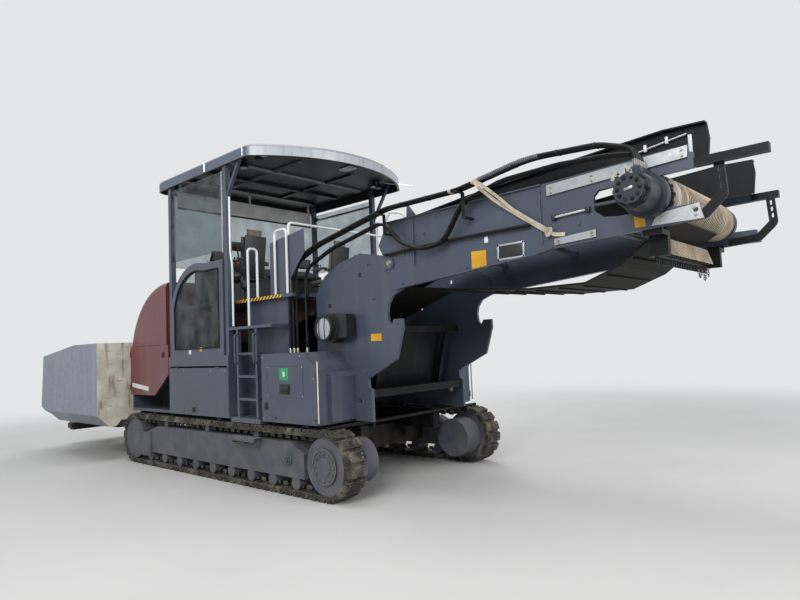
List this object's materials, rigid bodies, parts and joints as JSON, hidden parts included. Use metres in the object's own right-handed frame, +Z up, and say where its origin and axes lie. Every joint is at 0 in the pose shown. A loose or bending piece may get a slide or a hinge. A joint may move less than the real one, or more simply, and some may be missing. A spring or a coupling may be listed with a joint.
{
  "type": "tracked material transfer vehicle",
  "caption": "Tracked asphalt feeder with a receiving hopper, a roofed operator station and a rear discharge conveyor that hands mix to a paver.",
  "frame": {"origin": "on the ground under the middle of the machine, measured over its whole length and width", "axes": "+X forward to the hopper, +Y left, +Z up"},
  "size_m": [12.72, 3.8, 4.5],
  "materials": {
    "painted_steel": "semi-gloss",
    "red_hood": "gloss",
    "hopper_paint": "worn",
    "crawler_paint": "dusty",
    "track_steel": "dusty",
    "black_steel": "satin",
    "belt_rubber": "worn",
    "hose_rubber": "satin",
    "zinc": "satin",
    "pale_paint": "gloss",
    "engine_iron": "rough",
    "pane": "clear",
    "seat_vinyl": "matte",
    "roof_plastic": "satin",
    "lamp_plastic": "gloss",
    "cylinder_chrome": "polished"
  },
  "bodies": {
    "chassis": {"belt": "belt_rubber", "belt_skirts": "black_steel", "canopy_posts": "painted_steel", "canopy_roof": "roof_plastic", "console": "black_steel", "conveyor_frame": "painted_steel", "crawler_frame_left": "crawler_paint", "crawler_frame_right": "crawler_paint", "drive_drum": "black_steel", "drum_bearing": "zinc", "drum_motor": "black_steel", "end_arms": "black_steel", "engine_block": "engine_iron", "guide_strips": "zinc", "handrails": "pale_paint", "hopper_base": "black_steel", "hose_saddles": "black_steel", "hose_shield": "painted_steel", "hoses": "hose_rubber", "ladders": "painted_steel", "main_frame": "black_steel", "platform": "painted_steel", "push_beam": "black_steel", "rear_cheek_left": "painted_steel", "rear_cheek_right": "painted_steel", "rear_cross_frame": "black_steel", "scraper": "belt_rubber", "seats": "seat_vinyl", "side_body_left": "painted_steel", "side_body_right": "painted_steel", "side_pipe": "black_steel", "station_glass": "pane", "station_panels": "painted_steel", "tail_drum": "black_steel", "track_left": "track_steel", "track_right": "track_steel", "work_lights": "lamp_plastic"},
    "engine_hood": {"engine_hood": "red_hood"},
    "front_flap": {"front_flap": "hopper_paint"},
    "hopper_wing_left": {"hopper_wing_left": "hopper_paint"},
    "cylinder_barrel_left": {"cylinder_barrel_left": "black_steel"},
    "cylinder_rod_left": {"cylinder_rod_left": "cylinder_chrome"},
    "push_roller_left": {"push_roller_left": "black_steel"},
    "box_door_left": {"box_door_left": "painted_steel"},
    "side_flap_left": {"side_flap_left": "painted_steel"},
    "hood_door_left": {"hood_door_left": "red_hood"},
    "hopper_wing_right": {"hopper_wing_right": "hopper_paint"},
    "cylinder_barrel_right": {"cylinder_barrel_right": "black_steel"},
    "cylinder_rod_right": {"cylinder_rod_right": "cylinder_chrome"},
    "push_roller_right": {"push_roller_right": "black_steel"},
    "box_door_right": {"box_door_right": "painted_steel"},
    "side_flap_right": {"side_flap_right": "painted_steel"},
    "hood_door_right": {"hood_door_right": "red_hood"}
  },
  "joints": [
    {"name": "wing_left", "type": "hinge", "parent": "chassis", "child": "hopper_wing_left", "pos_m": [3.4, 0.895, 0.69], "axis": [1, 0, 0], "range_deg": [0, 48]},
    {"name": "cylinder_swing_left", "type": "hinge", "parent": "chassis", "child": "cylinder_barrel_left", "pos_m": [3.225, 0.96, 0.33], "axis": [1, 0, 0], "range_deg": [0, 26.8]},
    {"name": "cylinder_stroke_left", "type": "slide", "parent": "cylinder_barrel_left", "child": "cylinder_rod_left", "axis": [0, 0.4503, 0.8929], "range_m": [0, 0.128]},
    {"name": "push_roller_spin_left", "type": "hinge", "parent": "chassis", "child": "push_roller_left", "pos_m": [6.26, 0.7, 0.4], "axis": [0, 1, 0], "continuous": true},
    {"name": "box_door_swing_left", "type": "hinge", "parent": "chassis", "child": "box_door_left", "pos_m": [-1.774, 1.504, 1.2], "axis": [0, 0, 1], "range_deg": [0, 110]},
    {"name": "side_flap_swing_left", "type": "hinge", "parent": "chassis", "child": "side_flap_left", "pos_m": [0.8, 1.504, 1.534], "axis": [1, 0, 0], "range_deg": [0, 85]},
    {"name": "hood_door_swing_left", "type": "hinge", "parent": "chassis", "child": "hood_door_left", "pos_m": [3.024, 1.504, 1.5], "axis": [0, 0, -1], "range_deg": [0, 95]},
    {"name": "wing_right", "type": "hinge", "parent": "chassis", "child": "hopper_wing_right", "pos_m": [3.4, -0.895, 0.69], "axis": [-1, 0, 0], "range_deg": [0, 48]},
    {"name": "cylinder_swing_right", "type": "hinge", "parent": "chassis", "child": "cylinder_barrel_right", "pos_m": [3.225, -0.96, 0.33], "axis": [-1, 0, 0], "range_deg": [0, 26.8]},
    {"name": "cylinder_stroke_right", "type": "slide", "parent": "cylinder_barrel_right", "child": "cylinder_rod_right", "axis": [0, -0.4503, 0.8929], "range_m": [0, 0.128]},
    {"name": "push_roller_spin_right", "type": "hinge", "parent": "chassis", "child": "push_roller_right", "pos_m": [6.26, -0.7, 0.4], "axis": [0, 1, 0], "continuous": true},
    {"name": "box_door_swing_right", "type": "hinge", "parent": "chassis", "child": "box_door_right", "pos_m": [-1.774, -1.504, 1.2], "axis": [0, 0, -1], "range_deg": [0, 110]},
    {"name": "side_flap_swing_right", "type": "hinge", "parent": "chassis", "child": "side_flap_right", "pos_m": [0.8, -1.504, 1.534], "axis": [-1, 0, 0], "range_deg": [0, 85]},
    {"name": "hood_door_swing_right", "type": "hinge", "parent": "chassis", "child": "hood_door_right", "pos_m": [3.024, -1.504, 1.5], "axis": [0, 0, 1], "range_deg": [0, 95]},
    {"name": "hood_tilt", "type": "hinge", "parent": "chassis", "child": "engine_hood", "pos_m": [3.03, 0, 1.9003], "axis": [0, 1, 0], "range_deg": [0, 40]},
    {"name": "front_flap_tilt", "type": "hinge", "parent": "chassis", "child": "front_flap", "pos_m": [5.82, 0, 0.59], "axis": [0, 1, 0], "range_deg": [0, 60]}
  ],
  "couplings": [
    {"joint": "cylinder_swing_left", "follows": "wing_left", "ratio": 0.53774},
    {"joint": "cylinder_stroke_left", "follows": "wing_left", "m_per_rad": 0.14777},
    {"joint": "cylinder_swing_right", "follows": "wing_right", "ratio": 0.53774},
    {"joint": "cylinder_stroke_right", "follows": "wing_right", "m_per_rad": 0.14777}
  ]
}
